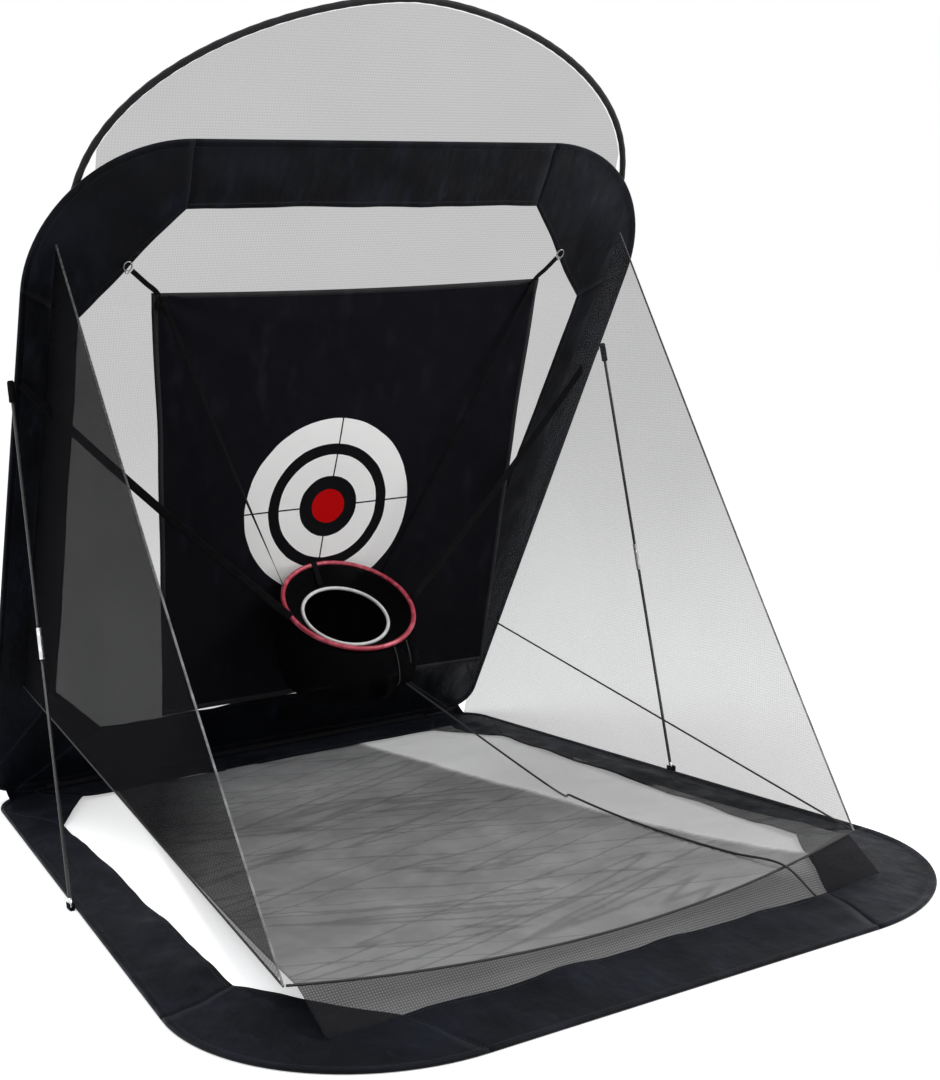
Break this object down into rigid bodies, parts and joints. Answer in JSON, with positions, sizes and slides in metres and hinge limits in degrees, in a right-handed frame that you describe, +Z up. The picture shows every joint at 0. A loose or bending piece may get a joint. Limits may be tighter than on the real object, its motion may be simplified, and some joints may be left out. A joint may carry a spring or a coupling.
{
  "type": "golf chipping net",
  "caption": "Folding golf practice net: hinged sprung hoops in cloth bands, side and floor nets, a hanging target sheet and a catch basket, propped by rods.",
  "frame": {"origin": "centre of the bounding box at floor level", "axes": "+Z up, +Y from the golfer to the rear hinge, X across"},
  "size_m": [1.7934, 2.0199, 1.9452],
  "materials": {
    "band_cloth": "coated oxford cloth",
    "sheet": "matt woven cloth, printed",
    "net": "fine knotless mesh",
    "pale_net": "fine knotless mesh",
    "basket_net": "fine mesh",
    "webbing": "woven webbing",
    "cord": "braided",
    "red_ring": "cloth-covered wire",
    "white_ring": "cloth-covered wire",
    "hoop_wire": "spring steel",
    "hook_metal": "blackened",
    "rod": "glass-fibre rod",
    "ferrule": "satin"
  },
  "bodies": {
    "base": {"base_band_front": "band_cloth", "base_band_left": "band_cloth", "base_band_rear": "band_cloth", "base_band_right": "band_cloth", "base_corner_front_left": "band_cloth", "base_corner_front_right": "band_cloth", "base_corner_rear_left": "band_cloth", "base_corner_rear_right": "band_cloth", "base_crimp": "hoop_wire", "base_hoop": "hoop_wire", "floor_net": "net", "front_cord": "cord", "ground_cord": "cord", "hinge_tape": "band_cloth", "lip_net": "net", "pouch_low_left": "band_cloth", "pouch_low_right": "band_cloth", "side_cord_left": "cord", "side_cord_right": "cord", "side_net_left": "net", "side_net_right": "net", "side_skirt_right": "net"},
    "upright": {"back_net": "pale_net", "hook_left": "hook_metal", "hook_right": "hook_metal", "pouch_high_left": "band_cloth", "pouch_high_right": "band_cloth", "upright_band_bottom": "band_cloth", "upright_band_left": "band_cloth", "upright_band_right": "band_cloth", "upright_band_top": "band_cloth", "upright_corner_low_left": "band_cloth", "upright_corner_low_right": "band_cloth", "upright_corner_top_left": "band_cloth", "upright_corner_top_right": "band_cloth", "upright_hoop": "hoop_wire"},
    "arch": {"arch_net": "pale_net", "arch_rod": "rod", "arch_sleeve": "band_cloth"},
    "target": {"target_sheet": "sheet", "sheet_strap_left": "webbing", "sheet_strap_right": "webbing"},
    "basket": {"basket_ring": "red_ring", "basket_bag": "basket_net", "basket_rear_strap": "webbing", "basket_side_strap_left": "webbing", "basket_side_strap_right": "webbing", "basket_tie_long": "cord", "basket_tie_short": "cord", "basket_top_strap_left": "webbing", "basket_top_strap_right": "webbing"},
    "inner_ring": {"basket_inner_ring": "white_ring", "basket_funnel": "basket_net"},
    "brace_left": {"brace_left_ferrule": "ferrule", "brace_left_high_rod": "rod", "brace_left_low_rod": "rod"},
    "brace_right": {"brace_right_ferrule": "ferrule", "brace_right_high_rod": "rod", "brace_right_low_rod": "rod"}
  },
  "joints": [
    {"name": "upright_fold", "type": "hinge", "parent": "base", "child": "upright", "pos_m": [0, 1.01, 0.0155], "axis": [1, 0, 0], "range_deg": [0, 44], "deforming": ["side_net_left", "side_net_right", "side_skirt_right", "side_cord_left", "side_cord_right", "hinge_tape", "ground_cord"]},
    {"name": "arch_fold", "type": "hinge", "parent": "upright", "child": "arch", "pos_m": [0, 0.1713, 1.4943], "axis": [-1, 0, 0], "range_deg": [0, 120], "deforming": ["arch_net"]},
    {"name": "target_swing", "type": "hinge", "parent": "upright", "child": "target", "pos_m": [0, 0.2167, 1.3842], "axis": [1, 0, 0], "range_deg": [0, 11.9], "deforming": ["sheet_strap_left", "sheet_strap_right"]},
    {"name": "basket_tilt", "type": "hinge", "parent": "target", "child": "basket", "pos_m": [-0.056, 0.3815, 0.6417], "axis": [1, 0, 0], "range_deg": [0, 70.4], "deforming": ["basket_bag", "basket_rear_strap", "basket_side_strap_left", "basket_side_strap_right", "basket_top_strap_left", "basket_top_strap_right", "basket_tie_long", "basket_tie_short"]},
    {"name": "inner_ring_lift", "type": "slide", "parent": "basket", "child": "inner_ring", "axis": [0, -0.5105, 0.8599], "range_m": [0, 0.0346], "deforming": ["basket_funnel"]},
    {"name": "brace_left_swing", "type": "hinge", "parent": "base", "child": "brace_left", "pos_m": [-0.8375, 0.12, 0.0066], "axis": [1, 0, 0], "range_deg": [0, 96]},
    {"name": "brace_right_swing", "type": "hinge", "parent": "base", "child": "brace_right", "pos_m": [0.8375, 0.12, 0.0066], "axis": [1, 0, 0], "range_deg": [0, 96]}
  ],
  "couplings": [
    {"joint": "target_swing", "follows": "upright_fold", "ratio": 0.27},
    {"joint": "basket_tilt", "follows": "upright_fold", "ratio": 1.6},
    {"joint": "inner_ring_lift", "follows": "upright_fold", "m_per_rad": 0.045}
  ]
}
